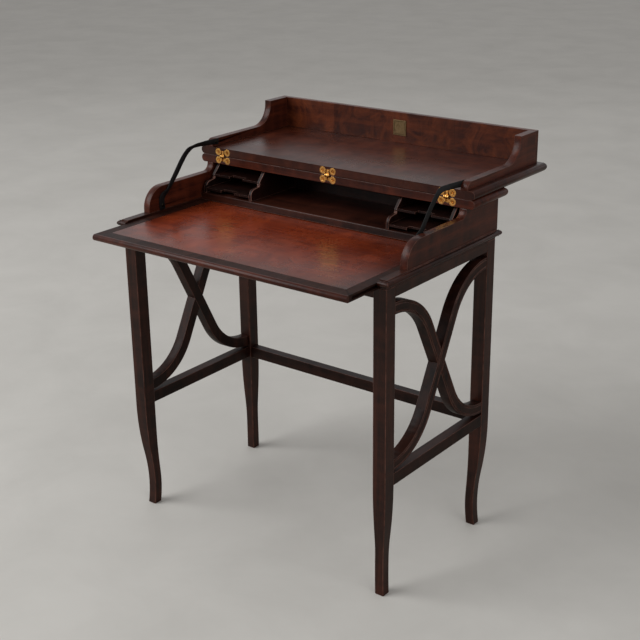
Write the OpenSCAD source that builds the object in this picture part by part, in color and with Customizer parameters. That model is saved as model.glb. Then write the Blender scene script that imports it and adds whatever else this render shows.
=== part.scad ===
// Fold-over campaign writing desk: a shallow box desk on a light stand.
// X runs across the desk, +X is the right-hand side as seen from the front.
// Y runs front to back, -Y is the front where the writer sits. Z is up.
// The origin lies on the floor under the middle of the desk's outline as it stands open.
// The model stands as used: the lid folded back and the writing slide drawn out.

/* [Stand] */
// width over the legs
stand_width = 748; // [720:2:790]
// depth over the legs
stand_depth = 430; // [410:2:460]
// side of the square leg
leg_side = 33; // [31:1:36]
// how far the outer leg faces hollow in at the ankle
ankle_inset = 13.5; // [8:0.5:15]
// height of the ankle above the floor
ankle_height = 62; // [50:2:80]
// underside of the stretchers above the floor
stretcher_bottom = 272; // [252:2:290]
// height of a side stretcher
stretcher_height = 28.5; // [24:0.5:32]
// thickness of a side stretcher
stretcher_thick = 25; // [22:1:28]
// height of the back stretcher
back_stretcher_height = 29; // [24:1:34]
// thickness of the back stretcher
back_stretcher_thick = 24; // [20:1:28]
// height of the rails under the ledge
rail_height = 23.5; // [20:0.5:28]
// thickness of the rails
rail_thick = 18; // [14:1:20]
// length of the tenons on rails and stretchers
tenon_length = 11; // [8:1:11]
// thickness of the tenons
tenon_thick = 8; // [7:1:9]
// shoulder left above and below each tenon
tenon_shoulder = 5; // [4:0.5:6]
// how far the front and back rails lie behind the leg faces
rail_setback = 1; // [0.5:0.5:3]

/* [Side crosses] */
// thickness of a cross bar
bar_thick = 26; // [22:1:28]
// height of a cross bar where it meets the leg
bar_end = 26; // [22:1:28]
// width of a cross bar in its steep middle
bar_middle = 26; // [22:1:29]
// slope of a cross bar at the crossing in degrees
bar_slope = 63; // [60:1:65]
// gap between the low end of a cross bar and the stretcher
bar_gap = 7; // [4:1:10]
// gap between the high end of a cross bar and the rail
bar_top_gap = 13; // [8:1:16]
// how far the cross bars and side stretchers lie behind the leg faces
bar_setback = 0.5; // [0.5:0.5:3]
// depth of the scratched line along the cross bars
bar_line = 1; // [0.6:0.2:1.6]
// length of the stub tenons on the cross bars
bar_tenon_length = 7; // [5:1:9]

/* [Ledge and case] */
// height of the top of the ledge beside the writing slide
writing_height = 748; // [724:2:770]
// thickness of the ledge
ledge_thick = 21.5; // [20:0.5:24]
// how far the ledge bead stands out beyond the legs
ledge_projection = 11; // [9:0.5:13]
// diameter of the bead round the ledge
bead_d = 11.5; // [10:0.5:12]
// step between the bead and the flat top of the ledge
ledge_quirk = 2.5; // [2:0.5:4]
// height of the case from the ledge to the underside of the top
case_height = 77; // [74:1:84]
// height of the low part of the case sides
side_low = 58; // [54:1:60]
// how far the case sides start behind the front end of the ledge
side_setback = 82; // [74:2:88]
// radius of the rounded front corner of the case sides
side_round = 50; // [40:1:52]
// thickness of the case sides
side_thick = 18.5; // [15:0.5:19]
// thickness of the case back
back_thick = 12; // [10:1:14]
// thickness of the raised floor under the racks
floor_thick = 12; // [10:1:14]
// distance from the case back to the front edge of the raised floor
floor_depth = 169; // [160:1:176]
// thickness of the fixed top and of the lid leaf
top_thick = 20; // [19:0.5:22]
// depth of the fixed top
fixed_top_depth = 146; // [140:1:152]
// overhang of both tops beyond the case sides
top_overhang = 18; // [14:1:20]

/* [Writing slide] */
// how far the slide draws out
slide_travel = 100; // [80:5:110]
// how far the writing surface lies below the top of the ledge
slide_drop = 6; // [5:0.5:7]
// depth of the slide from nose to back edge
slide_depth = 418; // [400:2:424]
// width of the darker border round the writing field
border_width = 26; // [22:1:32]
// thickness of the writing field
field_thick = 1.5; // [1:0.5:3]
// depth of the rounded nosing along the front
nosing_depth = 10; // [8:1:12]
// height of the runners the slide travels on
runner_height = 6; // [5:0.5:8]
// how far the runners reach into the slide
runner_reach = 7; // [5:0.5:9]
// running gap round the slide
slide_gap = 0.5; // [0.4:0.1:0.8]

/* [Lid] */
// thickness of the lid front board, which stands at the back when the lid is open
lid_board_thick = 12; // [10:1:14]
// how far the lid leaf reaches past its front board
lid_nose = 16; // [12:1:18]
// gap between the curved edges of lid and case sides
mating_gap = 0.8; // [0.5:0.1:1.2]
// side of the square plaque
plaque_side = 38; // [30:1:44]
// thickness of the plaque
plaque_thick = 1.6; // [1.2:0.2:2.4]

/* [Hinges] */
// distance of the outer hinges from the middle
hinge_spacing = 324; // [300:2:328]
// diameter of the round hinge lobes
lobe_d = 17.5; // [15:0.5:18]
// distance between the two lobes of a plate
lobe_pitch = 28.5; // [26:0.5:30]
// thickness of the hinge plates
plate_thick = 3; // [2.4:0.2:3.6]
// diameter of the hinge knuckle
knuckle_d = 9; // [7:0.5:9.5]
// width of the middle knuckle
knuckle_width = 6; // [5:0.5:8]
// width of the outer knuckles
lug_wide = 3; // [2.5:0.5:4]
// diameter of the hinge pin
hinge_pin_d = 2.6; // [2.2:0.2:3]
// shank diameter of the hinge screws
hinge_screw_d = 3.2; // [2.8:0.2:4]
// head diameter of the hinge screws
hinge_screw_head = 8; // [7:0.5:9]
// length of the hinge screws
hinge_screw_length = 22; // [16:1:26]

/* [Letter racks] */
// width of a letter rack
rack_width = 152; // [140:2:158]
// distance of a rack from the case side
rack_gap = 9.5; // [8:0.5:14]
// thickness of the side boards of the racks
rack_board = 8; // [6:0.5:9]
// thickness of the rack shelves
shelf_board = 5; // [4:0.5:6]
// gap under the lower shelf of a rack
rack_foot = 7.5; // [5:0.5:9]
// radius of the rounded front of the lower tier
rack_nose = 16; // [12:1:17]
// height of the upper shelf above the raised floor
rack_upper = 40.5; // [38:0.5:42]
// how far the upper tier stands behind the front of the raised floor
rack_step = 33; // [28:1:40]
// width of the finger notch in a shelf
notch_width = 42; // [34:2:54]
// depth of the finger notch in a shelf
notch_depth = 14; // [8:1:18]

/* [Straps] */
// width of the stay straps
strap_width = 15; // [13:1:17]
// thickness of the stay straps
strap_thick = 2; // [1.6:0.2:3]
// head diameter of the strap screws
strap_screw_head = 9; // [8:0.5:10]

/* [Hidden] */
$fn = 64;
hw = stand_width / 2;
hd = stand_depth / 2;
leg_top = writing_height - ledge_thick;
leg_in_x = hw - leg_side;
leg_in_y = hd - leg_side;
rail_bottom = leg_top - rail_height;
stretcher_top = stretcher_bottom + stretcher_height;
case_out = hw + 2;
case_in = case_out - side_thick;
case_rear = hd + 3;
back_in = case_rear - back_thick;
ledge_out_x = hw + ledge_projection;
ledge_out_y = hd + ledge_projection;
ledge_in_y = back_in - 11;
bead_r = bead_d / 2;
bead_step = 0.3;
bead_z = writing_height - ledge_quirk - bead_r;
top_z = writing_height + case_height;
top_face = top_z + top_thick;
top_half = case_out + top_overhang;
nose_r = top_thick / 2 + 0.5;
fixed_rear = case_rear + top_overhang - 6;
hinge_y = fixed_rear - fixed_top_depth;
pivot_y = hinge_y - 0.3;
pivot_z = top_face + 0.2;
side_front = side_setback - ledge_out_y;
rear_round = case_height - side_low;
slide_half = case_in - slide_gap;
slide_top = writing_height - slide_drop;
slide_bottom = leg_top + slide_gap;
slide_thick = slide_top - slide_bottom;
slide_nose = -ledge_out_y - 2.5 - slide_travel;
slide_rear = slide_nose + slide_depth;
border_front = slide_nose + nosing_depth;
groove_front = border_front + runner_reach + 3;
groove_rear = slide_rear - 10;
runner_front = groove_front + slide_travel + 0.3;
runner_rear = groove_rear - 0.3;
groove_z = (slide_top + slide_bottom - runner_height) / 2;
runner_seat = 4;
floor_bottom = writing_height + 0.7;
floor_top = floor_bottom + floor_thick;
floor_front = back_in - floor_depth;
floor_tongue = 5;
floor_clear = 1.2;
lid_front = -ledge_out_y + 1;
lid_leaf_front = lid_front - lid_nose;
lid_leaf_edge = pivot_y - 0.3;
lid_bottom = writing_height + 0.6;
lid_rear = 2 * pivot_y - lid_leaf_front;
middle_y = (slide_nose + lid_rear) / 2;
rack_out = case_in - rack_gap;
rack_in = rack_out - rack_width;
rack_front = floor_front + 1;
lower_z = floor_top + rack_foot + shelf_board;
bead_low = 9.5;
upper_z = floor_top + rack_upper;
step_y = floor_front + rack_step;
knuckle_half = knuckle_width / 2;
lug_gap = 0.3;
cross_z = (stretcher_top + bar_gap + rail_bottom - bar_top_gap) / 2;
bar_rise = cross_z - stretcher_top - bar_gap - bar_end / 2;
bar_out = hw - bar_setback;
bar_lap = 8;
bar_lean = 0.05;
bar_x = bar_out - bar_thick / 2;
stretcher_x = bar_out - stretcher_thick / 2;
strap_face = case_in;
strap_low_y = side_front + side_round - 7;
strap_lid_y = hinge_y + 13;
strap_lid_z = pivot_z + 0.2 + top_thick + 11;

// Extrudes a (y, z) outline along X from x0 to x1.
module along_x(x0, x1) {
    translate([x0, 0, 0])
        rotate([90, 0, 90])
            linear_extrude(x1 - x0)
                children();
}

// Extrudes an (x, z) outline along Y from y0 to y1.
module along_y(y0, y1) {
    translate([0, y1, 0])
        rotate([90, 0, 0])
            linear_extrude(y1 - y0)
                children();
}

// A box from corner to corner.
module block(a, b) {
    translate(a)
        cube([b[0] - a[0], b[1] - a[1], b[2] - a[2]]);
}

// A round rod along X.
module rod_x(x0, x1, y, z, d) {
    translate([x0, y, z])
        rotate([0, 90, 0])
            cylinder(d = d, h = x1 - x0);
}

// A round rod along Y.
module rod_y(x, y0, y1, z, d) {
    translate([x, y1, z])
        rotate([90, 0, 0])
            cylinder(d = d, h = y1 - y0);
}

// Pieces are drawn about the middle of the legs. This moves them to the desk's origin.
module placed() {
    translate([0, -middle_y, 0])
        children();
}

// Turns lid pieces, drawn closed, over into the open position.
module opened() {
    translate([0, pivot_y, pivot_z])
        rotate([180, 0, 0])
            translate([0, -pivot_y, -pivot_z])
                children();
}

// Leg outline in one direction. The outer face is at "out" and the body lies inside it.
// It is straight to the stretcher, then hollows to the ankle and turns out at the foot.
module leg_outline(out) {
    drop = stretcher_bottom - ankle_height;
    turn = 2 * atan(ankle_inset / drop);
    total = drop / sin(turn);
    low_r = total * 0.376;
    high_r = total - low_r;
    split = ankle_height + low_r * sin(turn);
    ankle_x = out - ankle_inset;
    in_drop = 135;
    in_inset = 3;
    in_turn = 2 * atan(in_inset / in_drop);
    in_total = in_drop / sin(in_turn);
    in_low = in_total * 0.21;
    in_high = in_total - in_low;
    in_split = ankle_height + in_low * sin(in_turn);
    in_x = out - leg_side;
    difference() {
        union() {
            translate([in_x - 10, stretcher_bottom])
                square([leg_side + 10, leg_top - stretcher_bottom]);
            intersection() {
                translate([in_x - 10, split])
                    square([leg_side + 10, stretcher_bottom - split]);
                translate([out - high_r, stretcher_bottom])
                    circle(r = high_r, $fn = 200);
            }
            difference() {
                translate([in_x - 10, 0])
                    square([leg_side + 10, split]);
                translate([ankle_x + low_r, ankle_height])
                    circle(r = low_r, $fn = 200);
            }
        }
        translate([in_x - 12, ankle_height + in_drop])
            square([12, leg_top]);
        intersection() {
            translate([in_x - 12, in_split])
                square([14, ankle_height + in_drop - in_split]);
            translate([in_x - in_high, ankle_height + in_drop])
                circle(r = in_high, $fn = 200);
        }
        difference() {
            translate([in_x - 12, -1])
                square([16, in_split + 1]);
            translate([in_x - in_inset + in_low, ankle_height])
                circle(r = in_low, $fn = 200);
        }
    }
}

// Mirrors a flat shape left to right when "on" is true.
module flipped(on) {
    if (on)
        mirror([1, 0])
            children();
    if (!on)
        children();
}

// A leg at the right front or right back corner.
module leg_right(s) {
    difference() {
        intersection() {
            along_y(-hd - 5, hd + 5)
                leg_outline(hw);
            along_x(hw - leg_side - 12, hw + 5)
                flipped(s < 0)
                    leg_outline(hd);
        }
        side_frame();
        if (s > 0)
            back_frame();
        if (s < 0)
            rail_front();
    }
}

// The rail and stretcher of the right side with the cross bars, as they stand between the legs.
module side_frame() {
    rail_side();
    stretcher_side();
    bar_tenons();
}

module back_frame() {
    rail_back();
    stretcher_back();
}

module rail_side() {
    block([hw - rail_thick, -leg_in_y, rail_bottom], [hw, leg_in_y, leg_top]);
    block([hw - rail_thick / 2 - tenon_thick / 2, -leg_in_y - tenon_length, rail_bottom + tenon_shoulder],
          [hw - rail_thick / 2 + tenon_thick / 2, leg_in_y + tenon_length,
           leg_top - tenon_shoulder]);
}

module stretcher_side() {
    block([bar_out - stretcher_thick, -leg_in_y, stretcher_bottom],
          [bar_out, leg_in_y, stretcher_top]);
    block([stretcher_x - tenon_thick / 2, -leg_in_y - tenon_length,
           stretcher_bottom + tenon_shoulder],
          [stretcher_x + tenon_thick / 2, leg_in_y + tenon_length,
           stretcher_top - tenon_shoulder]);
}

// A rail across the desk, in front for s = -1 and at the back for s = 1.
module rail_across(s) {
    y = s * (hd - rail_setback - rail_thick / 2);
    block([-leg_in_x, y - rail_thick / 2, rail_bottom], [leg_in_x, y + rail_thick / 2, leg_top]);
    block([-leg_in_x - tenon_length, y - tenon_thick / 2, rail_bottom + tenon_shoulder],
          [leg_in_x + tenon_length, y + tenon_thick / 2, leg_top - tenon_shoulder]);
}

module rail_front() {
    rail_across(-1);
}

module rail_back() {
    rail_across(1);
}

module stretcher_back() {
    y = hd - leg_side / 2;
    top = stretcher_bottom + back_stretcher_height;
    block([-leg_in_x, y - back_stretcher_thick / 2, stretcher_bottom],
          [leg_in_x, y + back_stretcher_thick / 2, top]);
    block([-leg_in_x - tenon_length, y - tenon_thick / 2, stretcher_bottom + tenon_shoulder],
          [leg_in_x + tenon_length, y + tenon_thick / 2, top - tenon_shoulder]);
}

// The four stub tenons of the cross bars on one side.
module bar_tenons() {
    for (s = [-1, 1])
        for (t = [-1, 1])
            bar_tenon(s, t);
}

module bar_tenon(s, t) {
    zc = cross_z + t * bar_rise;
    y0 = s > 0 ? leg_in_y : -leg_in_y - bar_tenon_length;
    block([bar_x - tenon_thick / 2, y0, zc - bar_end / 2 + tenon_shoulder],
          [bar_x + tenon_thick / 2, y0 + bar_tenon_length, zc + bar_end / 2 - tenon_shoulder]);
}

// Lower half of a rising cross bar in (y, z) about the crossing, "inset" narrows it evenly.
// Two arcs leave the leg level and run out into a straight middle, which laps over them.
module bar_half(inset) {
    e = bar_end / 2 - inset;
    m = bar_middle / 2 - inset;
    low = -bar_rise;
    run = [cos(bar_slope), sin(bar_slope)];
    side = [-sin(bar_slope), cos(bar_slope)];
    reach = leg_in_y * sin(bar_slope);
    k = 1 - cos(bar_slope);
    r_in = (reach + (low + e) * cos(bar_slope) - m) / k;
    r_out = (reach + (low - e) * cos(bar_slope) + m) / k;
    z_in = low + e + r_in;
    z_out = low - e + r_out;
    in_pt = [-leg_in_y, z_in] - r_in * side;
    out_pt = [-leg_in_y, z_out] - r_out * side;
    intersection() {
        difference() {
            translate([-leg_in_y, z_out])
                circle(r = r_out, $fn = 160);
            translate([-leg_in_y, z_in])
                circle(r = r_in, $fn = 160);
        }
        polygon([[-leg_in_y, 2 * low], [0, 2 * low], out_pt + bar_lap * run,
                 in_pt + bar_lap * side, [-leg_in_y, z_in]]);
    }
    polygon([in_pt - bar_lap * run + bar_lean * side, out_pt + bar_lean * side,
             -in_pt + bar_lap * run - bar_lean * side, -out_pt - bar_lean * side]);
}

// Whole rising bar outline in (y, z), placed at the crossing height.
module bar_outline(inset) {
    translate([0, cross_z]) {
        bar_half(inset);
        rotate(180)
            bar_half(inset);
    }
}

// One cross bar of the right-hand side. The outer bar rises to the back,
// the inner bar falls to the back, and both are halved where they cross.
module bar_right(outer) {
    x0 = bar_x - bar_thick / 2;
    x1 = bar_x + bar_thick / 2;
    difference() {
        along_x(x0, x1)
            flipped(!outer)
                bar_outline(0);
        along_x(outer ? x0 - 1 : bar_x, outer ? bar_x : x1 + 1)
            flipped(outer)
                bar_outline(0);
        along_x(x1 - bar_line, x1 + 1)
            flipped(!outer)
                difference() {
                    bar_outline(4);
                    bar_outline(5.6);
                }
    }
    for (s = [-1, 1])
        bar_tenon(s, outer ? s : -s);
}

// Ledge section seen from one side: flat inner part and a quirked bead outside.
module ledge_section(out, body) {
    translate([-out + bead_r, bead_z - bead_r + bead_step])
        square([2 * out - 2 * bead_r, 2 * bead_r - 2 * bead_step]);
    translate([-body - ledge_quirk, bead_z])
        square([2 * body + 2 * ledge_quirk, writing_height - bead_z]);
    translate([-body, leg_top])
        square([2 * body, ledge_thick]);
    for (s = [-1, 1])
        translate([s * (out - bead_r), bead_z])
            circle(r = bead_r);
}

// The full ledge ring, open at the front for the slide.
module ledge_ring() {
    difference() {
        intersection() {
            along_y(-ledge_out_y - 1, ledge_out_y + 1)
                ledge_section(ledge_out_x, hw);
            along_x(-ledge_out_x - 1, ledge_out_x + 1)
                ledge_section(ledge_out_y, hd);
        }
        block([-case_in, -ledge_out_y - 5, leg_top - 5], [case_in, ledge_in_y, writing_height + 5]);
    }
}

// Plan of the right-hand ledge, cut at its mitre with the back ledge.
module ledge_side_plan() {
    mitre_reach = ledge_out_x - case_in;
    polygon([[case_in, -ledge_out_y - 5], [ledge_out_x + mitre_reach, -ledge_out_y - 5],
             [ledge_out_x + mitre_reach, ledge_out_y + mitre_reach],
             [case_in, ledge_out_y - mitre_reach]]);
}

// Right-hand ledge with its mitre at the back and the groove that holds the runner.
module ledge_side_right() {
    difference() {
        intersection() {
            ledge_ring();
            translate([0, 0, leg_top - 5])
                linear_extrude(ledge_thick + 10)
                    ledge_side_plan();
        }
        runner_side_right();
    }
}

// Runner: a tongue seated in the ledge that carries the slide.
module runner_side_right() {
    block([case_in - runner_reach, runner_front, groove_z],
          [case_in + runner_seat, runner_rear, groove_z + runner_height]);
}

// Outline of the case sides in (y, z).
module case_side_outline() {
    difference() {
        union() {
            translate([side_front, writing_height])
                square([case_rear - side_front, side_low - side_round]);
            translate([side_front + side_round, writing_height])
                square([case_rear - side_front - side_round, side_low]);
            translate([hinge_y - rear_round, writing_height])
                square([case_rear - hinge_y + rear_round, case_height]);
            intersection() {
                translate([side_front + side_round, writing_height + side_low - side_round])
                    circle(r = side_round);
                translate([side_front - 1, writing_height + side_low - side_round - 1])
                    square([side_round + 2, side_round + 2]);
            }
        }
        translate([hinge_y - rear_round, top_z])
            circle(r = rear_round);
        translate([hinge_y - 2 * rear_round, top_z - rear_round])
            square([rear_round, rear_round + 1]);
    }
}

module case_side_right() {
    color([0.25, 0.11, 0.08])
        placed()
            difference() {
                along_x(case_in, case_out)
                    case_side_outline();
                floor_board();
                strap_hole_case();
            }
}

// Raised floor under the letter racks, housed in the case sides and rebated over the ledges.
module floor_board() {
    along_x(-case_in - floor_tongue, case_in + floor_tongue)
        union() {
            translate([floor_front, floor_bottom])
                square([floor_depth, floor_thick - 3]);
            translate([floor_front + 3, floor_bottom])
                square([floor_depth - 3, floor_thick]);
            translate([floor_front + 3, floor_top - 3])
                circle(r = 3);
        }
    block([-case_in + slide_gap, floor_front, slide_top + floor_clear],
          [case_in - slide_gap, ledge_in_y - slide_gap, floor_bottom + 1]);
}

// A board with rounded side edges, seen along Y.
module board_section() {
    intersection() {
        translate([-top_half - 1, top_z])
            square([2 * top_half + 2, top_thick]);
        union() {
            translate([-top_half + nose_r, top_z - 1])
                square([2 * top_half - 2 * nose_r, top_thick + 2]);
            for (s = [-1, 1])
                translate([s * (top_half - nose_r), top_z + top_thick / 2])
                    circle(r = nose_r);
        }
    }
}

// A board seen along X, square at the hinge edge and rounded at the far edge.
module edge_section(edge, far) {
    s = far > edge ? 1 : -1;
    turn = far - s * nose_r;
    intersection() {
        translate([min(edge, far) - 1, top_z])
            square([abs(far - edge) + 2, top_thick]);
        union() {
            translate([min(edge, turn), top_z - 1])
                square([abs(turn - edge), top_thick + 2]);
            translate([turn, top_z + top_thick / 2])
                circle(r = nose_r);
        }
    }
}

// Hinge places.
module at_hinges() {
    for (i = [-1, 0, 1])
        translate([i * hinge_spacing, 0, 0])
            children();
}

// One hinge plate in the fixed top. "middle" puts the lug in the middle instead of outside.
// "grow" above zero gives the cut for it.
module hinge_plate(middle, grow) {
    zc = top_face - top_thick / 2;
    y0 = hinge_y;
    front = grow > 0 ? y0 - 1 : y0;
    difference() {
        union() {
            for (s = [-1, 1]) {
                rod_y(s * lobe_pitch / 2, front, y0 + plate_thick, zc, lobe_d + grow);
                rod_y(s * lobe_pitch / 2, y0 + plate_thick - 0.5, y0 + 13, zc, lobe_d - 5 + grow);
            }
            block([-lobe_pitch / 2, y0 + plate_thick, zc - 3.5],
                  [lobe_pitch / 2, y0 + plate_thick + 4, zc + 3.5]);
        }
        if (grow == 0)
            for (s = [-1, 1])
                hinge_screw(s * lobe_pitch / 2, zc, 0.1);
        if (grow == 0)
            if (middle)
                for (s = [0, 1])
                    mirror([s, 0, 0])
                        rod_x(knuckle_half, knuckle_half + lug_wide + 2 * lug_gap,
                              pivot_y, pivot_z, knuckle_d + 0.8);
        if (grow == 0)
            if (!middle)
                rod_x(-knuckle_half - lug_gap, knuckle_half + lug_gap,
                      pivot_y, pivot_z, knuckle_d + 0.8);
    }
    if (grow == 0)
        difference() {
            if (middle)
                hinge_lug(-knuckle_half, knuckle_half, zc, y0);
            if (!middle)
                for (s = [0, 1])
                    mirror([s, 0, 0])
                        hinge_lug(knuckle_half + lug_gap, knuckle_half + lug_gap + lug_wide, zc, y0);
            rod_x(-2 * knuckle_width, 2 * knuckle_width, pivot_y, pivot_z,
                  hinge_pin_d + (middle ? 0.6 : 0));
            for (s = [-1, 1])
                hinge_screw(s * lobe_pitch / 2, zc, 0.1);
        }
}

// A lug from the plate to the knuckle.
module hinge_lug(x0, x1, zc, y0) {
    block([x0, y0, zc - 2], [x1, y0 + plate_thick + 1, top_face]);
    rod_x(x0, x1, pivot_y, pivot_z, knuckle_d);
}

// A countersunk slotted screw along Y with its head just below the plate face.
// "grow" above zero gives its hole.
module hinge_screw(x, z, grow) {
    translate([x, hinge_y, z])
        rotate([-90, 0, 0])
            difference() {
                union() {
                    translate([0, 0, 0.2])
                        cylinder(d1 = hinge_screw_head + 2 * grow, d2 = hinge_screw_d + 2 * grow,
                                 h = (hinge_screw_head - hinge_screw_d) / 2);
                    translate([0, 0, 0.3])
                        cylinder(d = hinge_screw_d + 2 * grow, h = hinge_screw_length + grow);
                    if (grow > 0)
                        translate([0, 0, -1])
                            cylinder(d = hinge_screw_head + 2 * grow, h = 1.21);
                }
                if (grow == 0)
                    translate([-hinge_screw_head, -0.5, -1])
                        cube([2 * hinge_screw_head, 1, 1.9]);
            }
}

// The cut for one hinge plate in its board, with room for the other plate's knuckle.
module hinge_mortise() {
    zc = top_face - top_thick / 2;
    far = knuckle_half + lug_wide + 2 * lug_gap;
    hinge_plate(false, 0.01);
    for (s = [-1, 1])
        hinge_screw(s * lobe_pitch / 2, zc, 0.1);
    block([-far, hinge_y - 1, zc - 3.5], [far, hinge_y + plate_thick + 1, top_face + 1]);
    rod_x(-far, far, pivot_y, pivot_z, knuckle_d + 0.8);
}

// Turns fixed-top hardware into its counterpart in the open lid.
module lid_side_of_hinge() {
    translate([0, 0, 2 * pivot_z])
        mirror([0, 0, 1])
            children();
}

// Side board outline of a letter rack in (y, z), two tiers stepping forward downwards.
module rack_outline() {
    r = rack_nose;
    polygon([[rack_front, floor_top], [back_in, floor_top], [back_in, top_z],
             [step_y + 23, top_z], [step_y + 1, upper_z], [step_y, upper_z - 3],
             [step_y + 3, upper_z - 4.5], [step_y, upper_z - 6], [step_y, upper_z - bead_low],
             [rack_front + r, lower_z + r], [rack_front + r, lower_z],
             [rack_front, lower_z]]);
    translate([rack_front + r, lower_z])
        intersection() {
            circle(r = r);
            translate([-r, 0])
                square([r + 1, r]);
        }
}

module rack_side(x0) {
    along_x(x0, x0 + rack_board)
        rack_outline();
}

// A rack shelf with its finger notch. It is housed 2 mm in both rack sides.
module rack_shelf(z0, front) {
    mid = (rack_out + rack_in) / 2;
    difference() {
        block([rack_in + rack_board - 2, front, z0],
              [rack_out - rack_board + 2, back_in, z0 + shelf_board]);
        block([mid - notch_width / 2, front - 1, z0 - 1],
              [mid + notch_width / 2, front + notch_depth, z0 + shelf_board + 1]);
    }
}

module rack_shelf_upper() {
    rack_shelf(upper_z - shelf_board, step_y + 1.5);
}

module rack_shelf_lower() {
    rack_shelf(lower_z - shelf_board, rack_front + 0.5);
}

module rack_side_housed(x0) {
    difference() {
        rack_side(x0);
        rack_shelf_upper();
        rack_shelf_lower();
    }
}

// Plan of the slide field and the mitred borders.
module field_plan() {
    translate([-slide_half + border_width, border_front + border_width])
        square([2 * (slide_half - border_width), slide_rear - border_front - 2 * border_width]);
}

module border_block() {
    translate([0, 0, slide_bottom])
        linear_extrude(slide_thick)
            difference() {
                translate([-slide_half, border_front])
                    square([2 * slide_half, slide_rear - border_front]);
                field_plan();
            }
}

// Cuts the borders apart at their mitres, side = front, back, right.
module mitre(side) {
    big = 2 * slide_half;
    w = border_width;
    f = border_front;
    b = slide_rear;
    h = slide_half;
    translate([0, 0, slide_bottom - 1])
        linear_extrude(slide_thick + 2) {
            if (side == "front")
                polygon([[-h - w, f - w], [h + w, f - w], [h - w, f + w], [-h + w, f + w]]);
            if (side == "back")
                polygon([[-h - w, b + w], [h + w, b + w], [h - w, b - w], [-h + w, b - w]]);
            if (side == "right")
                polygon([[h + w, f - w], [h + w, b + w], [h - w, b - w], [h - w, f + w]]);
        }
}

module border_right() {
    difference() {
        intersection() {
            border_block();
            mitre("right");
        }
        block([slide_half - runner_reach - slide_gap, groove_front, groove_z - slide_gap],
              [slide_half + 1, groove_rear, groove_z + runner_height + slide_gap]);
    }
}

// Outline of the lid sides in (y, z), drawn closed. It mates with the case side outline.
module lid_side_outline() {
    g = mating_gap;
    arc_y = side_front + side_round;
    arc_z = writing_height + side_low - side_round;
    difference() {
        translate([lid_front + lid_board_thick, lid_bottom])
            square([hinge_y - rear_round - lid_front - lid_board_thick, top_z - lid_bottom]);
        translate([arc_y, lid_bottom - 1])
            square([hinge_y - arc_y, writing_height + side_low + g - lid_bottom + 1]);
        translate([arc_y, arc_z])
            circle(r = side_round + g);
        translate([side_front - g, lid_bottom - 1])
            square([side_round + 2 * g, arc_z - lid_bottom + 1]);
    }
    intersection() {
        translate([hinge_y - rear_round, top_z])
            circle(r = rear_round - g);
        translate([hinge_y - rear_round - 0.01, top_z - rear_round])
            square([rear_round, rear_round]);
    }
}

// Guide points of a stay strap in (y, z), from the case side up to the lid side.
strap_foot = [strap_low_y, writing_height + 4 + strap_width / 2];
strap_end = [strap_lid_y, strap_lid_z];
strap_guide = [strap_foot + [0, -28], strap_foot + [0, -7.5], strap_foot + [0, 17.5],
               strap_foot + [19, 33.5], strap_foot + [39, 52.5], strap_foot + [57, 73.5],
               strap_foot + [74, 93.5], strap_end + [-103, -4.5], strap_end + [-83, 3.5],
               strap_end + [-59, 4], strap_end + [-30, 2.5], strap_end + [9, -0.5],
               strap_end + [40, -3]];

// A point on the smooth curve through guide points a, b, c and d, between b and c.
function on_curve(a, b, c, d, t) =
    b + (c - a) * t / 2 + (2 * a - 5 * b + 4 * c - d) * t * t / 2
    + (3 * b - a - 3 * c + d) * t * t * t / 2;

strap_steps = 4;
strap_line = [for (i = [1 : len(strap_guide) - 3])
                  for (j = [0 : strap_steps - 1])
                      on_curve(strap_guide[i - 1], strap_guide[i], strap_guide[i + 1],
                               strap_guide[i + 2], j / strap_steps)];

// The point beside the strap's line at distance w, across the run of the line.
function beside(i, w) =
    let (a = strap_line[max(i - 1, 0)],
         b = strap_line[min(i + 1, len(strap_line) - 1)],
         d = (b - a) / norm(b - a))
    strap_line[i] + [-d[1], d[0]] * w;

// Outline of the strap with its two screw holes.
module strap_outline() {
    last = len(strap_line) - 1;
    difference() {
        polygon(concat([for (i = [0 : last]) beside(i, strap_width / 2)],
                       [for (i = [last : -1 : 0]) beside(i, -strap_width / 2)]));
        translate(strap_foot)
            circle(d = 3.7);
        translate(strap_end)
            circle(d = 3.7);
    }
}

module strap_hole_case() {
    rod_x(case_in - 1, case_in + 12.1, strap_foot[0], strap_foot[1], 3.7);
}

module strap_hole_lid() {
    rod_x(case_in - 1, case_in + 12.1, strap_end[0], strap_end[1], 3.7);
}

// A round-headed screw through a strap end into the right-hand side.
module strap_screw(at) {
    y = at[0];
    z = at[1];
    face = strap_face - strap_thick;
    rod_x(face - 0.05, case_in + 12, y, z, 3.5);
    translate([face, y, z])
        rotate([0, -90, 0])
            difference() {
                intersection() {
                    translate([0, 0, 2.4 - strap_screw_head * 0.62])
                        sphere(d = strap_screw_head * 1.24);
                    cylinder(d = strap_screw_head, h = 2.4);
                }
                translate([-10, -0.5, 1.5])
                    cube([20, 1, 2]);
            }
}

module strap_right_shape() {
    along_x(strap_face - strap_thick, strap_face)
        strap_outline();
}

// Pieces

module leg_front_right() {
    color([0.22, 0.1, 0.07])
        placed()
            leg_right(-1);
}

module leg_front_left() {
    mirror([1, 0, 0])
        leg_front_right();
}

module leg_back_right() {
    color([0.22, 0.1, 0.07])
        placed()
            leg_right(1);
}

module leg_back_left() {
    mirror([1, 0, 0])
        leg_back_right();
}

module side_rail_right() {
    color([0.24, 0.11, 0.08])
        placed()
            rail_side();
}

module side_rail_left() {
    mirror([1, 0, 0])
        side_rail_right();
}

module front_rail() {
    color([0.24, 0.11, 0.08])
        placed()
            rail_front();
}

module back_rail() {
    color([0.24, 0.11, 0.08])
        placed()
            rail_back();
}

module side_stretcher_right() {
    color([0.23, 0.1, 0.07])
        placed()
            stretcher_side();
}

module side_stretcher_left() {
    mirror([1, 0, 0])
        side_stretcher_right();
}

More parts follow.
